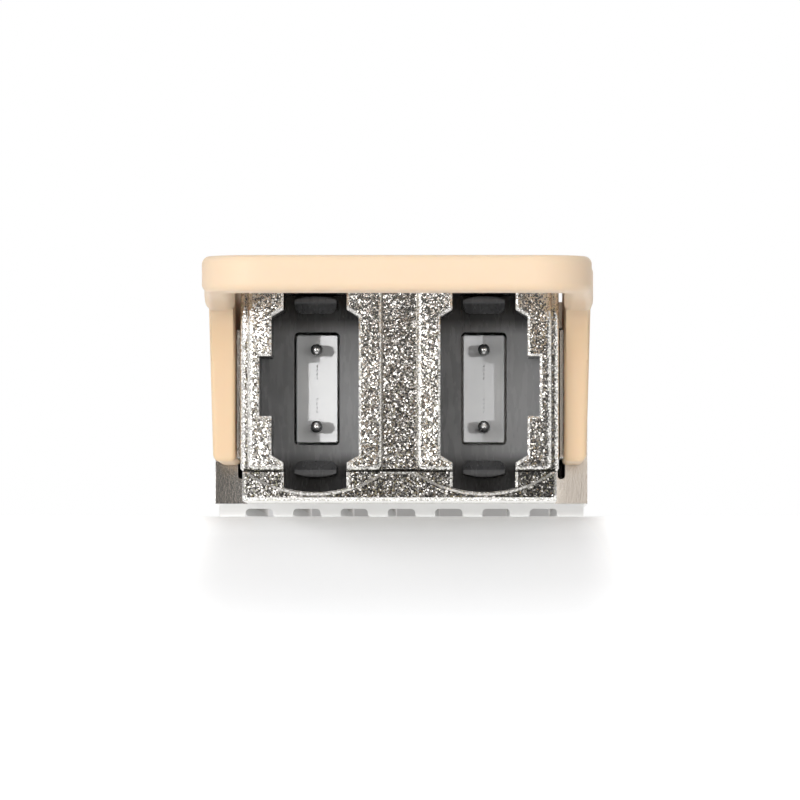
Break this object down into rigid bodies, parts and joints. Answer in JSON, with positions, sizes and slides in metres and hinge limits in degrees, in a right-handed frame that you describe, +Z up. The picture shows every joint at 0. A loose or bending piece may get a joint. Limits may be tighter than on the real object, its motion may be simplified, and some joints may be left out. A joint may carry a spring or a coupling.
{
  "type": "osfp transceiver module",
  "caption": "Finned pluggable optical module with vertical multi-fibre ports in a die-cast nose and a sprung, U-shaped tan pull tab that releases its side latches.",
  "frame": {"origin": "middle of the footprint, at the level of the fin tips", "axes": "+X right as seen from the front, +Y from the pull tab to the host end, +Z up from the fins to the belly"},
  "size_m": [0.0228, 0.1348, 0.0145],
  "materials": {
    "nickel_shell": "satin",
    "screw_steel": "satin",
    "black_plastic": "matte",
    "gasket_rubber": "matte",
    "ferrule_grey": "gloss",
    "pin_steel": "polished",
    "keeper_plastic": "matte",
    "ribbon_aqua": "satin",
    "board_green": "satin",
    "contact_gold": "satin",
    "chip_black": "satin",
    "engine_grey": "satin",
    "lens_clear": "gloss",
    "pad_grey": "matte",
    "inductor_grey": "satin",
    "crystal_metal": "satin",
    "capacitor_brown": "satin",
    "tab_tan": "satin",
    "latch_steel": "satin",
    "spring_steel": "satin"
  },
  "bodies": {
    "module": {"finned_shell": "nickel_shell", "belly_shell": "nickel_shell", "shell_screws": "screw_steel", "left_port_housing": "black_plastic", "right_port_housing": "black_plastic", "left_port_gasket": "gasket_rubber", "right_port_gasket": "gasket_rubber", "seam_gaskets": "gasket_rubber", "left_ferrule": "ferrule_grey", "right_ferrule": "ferrule_grey", "left_guide_pins": "pin_steel", "right_guide_pins": "pin_steel", "left_pin_keeper": "keeper_plastic", "right_pin_keeper": "keeper_plastic", "ferrule_retainer": "keeper_plastic", "left_fibre_ribbon": "ribbon_aqua", "right_fibre_ribbon": "ribbon_aqua", "circuit_board": "board_green", "upper_edge_contacts": "contact_gold", "lower_edge_contacts": "contact_gold", "signal_processor": "chip_black", "driver_chips": "chip_black", "microcontroller": "chip_black", "regulators": "chip_black", "left_optical_engine": "engine_grey", "right_optical_engine": "engine_grey", "left_lens_block": "lens_clear", "right_lens_block": "lens_clear", "processor_thermal_pad": "pad_grey", "engine_thermal_pads": "pad_grey", "inductors": "inductor_grey", "crystal": "crystal_metal", "capacitors": "capacitor_brown", "left_return_spring": "spring_steel", "right_return_spring": "spring_steel"},
    "pull_latch": {"pull_tab": "tab_tan", "left_latch_arm": "latch_steel", "right_latch_arm": "latch_steel"}
  },
  "joints": [
    {"name": "pull_tab_slide", "type": "slide", "parent": "module", "child": "pull_latch", "axis": [0, -1, 0], "range_m": [0, 0.003], "stiffness_N_per_m": 600, "springref_m": -0.0033, "deforming": ["left_return_spring", "right_return_spring"]}
  ]
}
